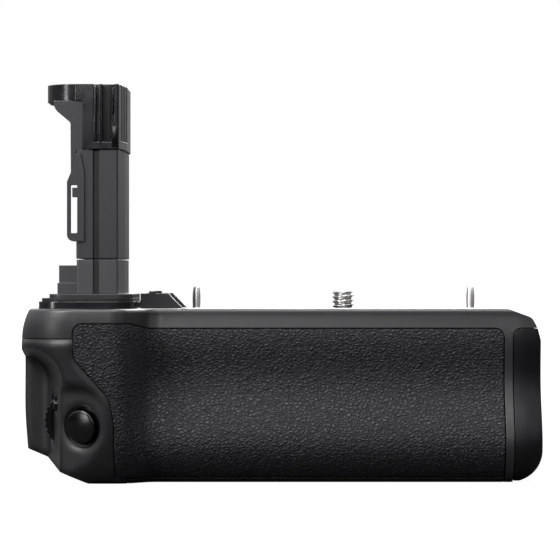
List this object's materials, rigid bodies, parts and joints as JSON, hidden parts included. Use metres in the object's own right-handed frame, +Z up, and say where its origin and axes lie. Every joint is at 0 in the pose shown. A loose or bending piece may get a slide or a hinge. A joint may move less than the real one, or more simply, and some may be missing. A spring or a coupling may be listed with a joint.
{
  "type": "camera battery grip",
  "caption": "Battery grip that screws under a camera, with a stem for the battery chamber, a sliding battery magazine and a second set of hand controls.",
  "frame": {"origin": "mouth of the tripod socket, in the middle of the flat base, under the mounting screw", "axes": "+X to the right seen from the front, towards the magazine cap; +Y to the back; +Z up, towards the camera"},
  "size_m": [0.1402, 0.0788, 0.1054],
  "materials": {
    "shell_plastic": "fine-textured black moulded plastic",
    "grip_rubber": "black rubber with a pebbled leather grain",
    "gloss_plastic": "smooth black plastic",
    "control_plastic": "smooth black control plastic",
    "inner_plastic": "dark grey inner plastic",
    "pack_plastic": "grey-black battery case",
    "chrome_steel": "bright turned steel",
    "plated_metal": "nickel-plated steel",
    "black_metal": "black painted metal",
    "contact_gold": "gold-plated contact",
    "seal_rubber": "soft black seal",
    "board_green": "green circuit board"
  },
  "bodies": {
    "housing": {"top_cover": "shell_plastic", "front_shell": "shell_plastic", "control_corner": "shell_plastic", "rear_shell": "shell_plastic", "base_plate": "shell_plastic", "base_screws": "black_metal", "tripod_socket": "plated_metal", "front_grip": "grip_rubber", "thumb_pad": "grip_rubber", "end_pad": "grip_rubber", "battery_tunnel": "inner_plastic", "tunnel_contacts": "contact_gold", "dial_axle": "plated_metal", "bearing_plate": "plated_metal", "thrust_washer": "plated_metal", "screw_collar": "black_metal", "guide_pins": "chrome_steel", "stem_column": "inner_plastic", "stem_boot": "inner_plastic", "stem_core": "inner_plastic", "stem_head": "gloss_plastic", "stem_contacts": "contact_gold", "stem_shelf": "inner_plastic", "side_clip": "inner_plastic", "stem_plinth": "gloss_plastic", "plinth_seal": "seal_rubber", "plinth_crown": "inner_plastic", "door_holder": "inner_plastic", "shutter_collar": "control_plastic", "shutter_switch": "board_green", "wheel_axles": "plated_metal", "control_board": "board_green", "stick_case": "inner_plastic", "main_board": "board_green"},
    "magazine": {"magazine_tray": "inner_plastic", "battery_pack_outer": "pack_plastic", "battery_pack_inner": "pack_plastic", "magazine_cap": "shell_plastic", "cap_seal": "seal_rubber"},
    "lock_knob": {"lock_knob": "control_plastic", "lock_cam": "plated_metal", "tab_pin": "plated_metal"},
    "release_tab": {"release_tab": "control_plastic"},
    "pack_latch_inner": {"pack_latch_inner": "inner_plastic"},
    "pack_latch_outer": {"pack_latch_outer": "inner_plastic"},
    "attachment_dial": {"attachment_dial": "control_plastic"},
    "attachment_screw": {"attachment_screw": "chrome_steel", "screw_gear": "plated_metal"},
    "shutter_button": {"shutter_button": "control_plastic"},
    "small_button": {"small_button": "control_plastic"},
    "af_on_button": {"af_on_button": "control_plastic"},
    "exposure_lock_button": {"exposure_lock_button": "control_plastic"},
    "focus_point_button": {"focus_point_button": "control_plastic"},
    "front_wheel": {"front_wheel": "control_plastic"},
    "rear_wheel": {"rear_wheel": "control_plastic"},
    "stick_gimbal": {"stick_gimbal": "inner_plastic"},
    "thumb_stick": {"thumb_stick": "control_plastic"},
    "power_lever": {"power_lever": "control_plastic"}
  },
  "joints": [
    {"name": "magazine_slide", "type": "slide", "parent": "housing", "child": "magazine", "axis": [1, 0, 0], "range_m": [0, 0.112]},
    {"name": "knob_turn", "type": "hinge", "parent": "magazine", "child": "lock_knob", "pos_m": [0.0515, -0.0126, 0.0204], "axis": [1, 0, 0], "range_deg": [0, 90]},
    {"name": "tab_fold", "type": "hinge", "parent": "lock_knob", "child": "release_tab", "pos_m": [0.0504, -0.0126, 0.0204], "axis": [0, 0, -1], "range_deg": [0, 90]},
    {"name": "inner_latch_turn", "type": "hinge", "parent": "magazine", "child": "pack_latch_inner", "pos_m": [-0.0593, -0.0095, 0.028], "axis": [0, 0, 1], "range_deg": [0, 90]},
    {"name": "outer_latch_turn", "type": "hinge", "parent": "magazine", "child": "pack_latch_outer", "pos_m": [-0.0071, -0.0095, 0.028], "axis": [0, 0, 1], "range_deg": [0, 90]},
    {"name": "dial_spin", "type": "hinge", "parent": "housing", "child": "attachment_dial", "pos_m": [0, 0.012, 0.03675], "axis": [0, 0, 1], "continuous": true},
    {"name": "screw_spin", "type": "hinge", "parent": "housing", "child": "attachment_screw", "pos_m": [0, 0, 0.046], "axis": [0, 0, 1], "continuous": true},
    {"name": "shutter_press", "type": "slide", "parent": "housing", "child": "shutter_button", "axis": [0.5138, 0.8551, 0.0698], "range_m": [0, 0.0012], "stiffness_N_per_m": 400, "springref_m": -0.0004},
    {"name": "small_press", "type": "slide", "parent": "housing", "child": "small_button", "axis": [1, 0, 0], "range_m": [0, 0.0007], "stiffness_N_per_m": 400, "springref_m": -0.0004},
    {"name": "af_on_press", "type": "slide", "parent": "housing", "child": "af_on_button", "axis": [0, -1, 0], "range_m": [0, 0.0007], "stiffness_N_per_m": 400, "springref_m": -0.0004},
    {"name": "exposure_lock_press", "type": "slide", "parent": "housing", "child": "exposure_lock_button", "axis": [0, -1, 0], "range_m": [0, 0.0007], "stiffness_N_per_m": 400, "springref_m": -0.0004},
    {"name": "focus_point_press", "type": "slide", "parent": "housing", "child": "focus_point_button", "axis": [0, -1, 0], "range_m": [0, 0.0007], "stiffness_N_per_m": 400, "springref_m": -0.0004},
    {"name": "front_wheel_spin", "type": "hinge", "parent": "housing", "child": "front_wheel", "pos_m": [-0.0722, -0.0235, 0.0161], "axis": [0, 1, 0], "continuous": true},
    {"name": "rear_wheel_spin", "type": "hinge", "parent": "housing", "child": "rear_wheel", "pos_m": [-0.0808, 0.0193, 0.022], "axis": [1, 0, 0], "continuous": true},
    {"name": "stick_tilt_side", "type": "hinge", "parent": "housing", "child": "stick_gimbal", "pos_m": [-0.0555, 0.0232, 0.0275], "axis": [0, 0, 1], "range_deg": [-8, 8], "stiffness_Nm_per_rad": 0.01},
    {"name": "stick_tilt_up", "type": "hinge", "parent": "stick_gimbal", "child": "thumb_stick", "pos_m": [-0.0555, 0.0232, 0.0275], "axis": [1, 0, 0], "range_deg": [-8, 8], "stiffness_Nm_per_rad": 0.01},
    {"name": "power_turn", "type": "hinge", "parent": "housing", "child": "power_lever", "pos_m": [-0.036, 0.024, 0.014], "axis": [0, 1, 0], "range_deg": [0, 40]}
  ],
  "couplings": [
    {"joint": "screw_spin", "follows": "dial_spin", "ratio": -1.6667}
  ]
}
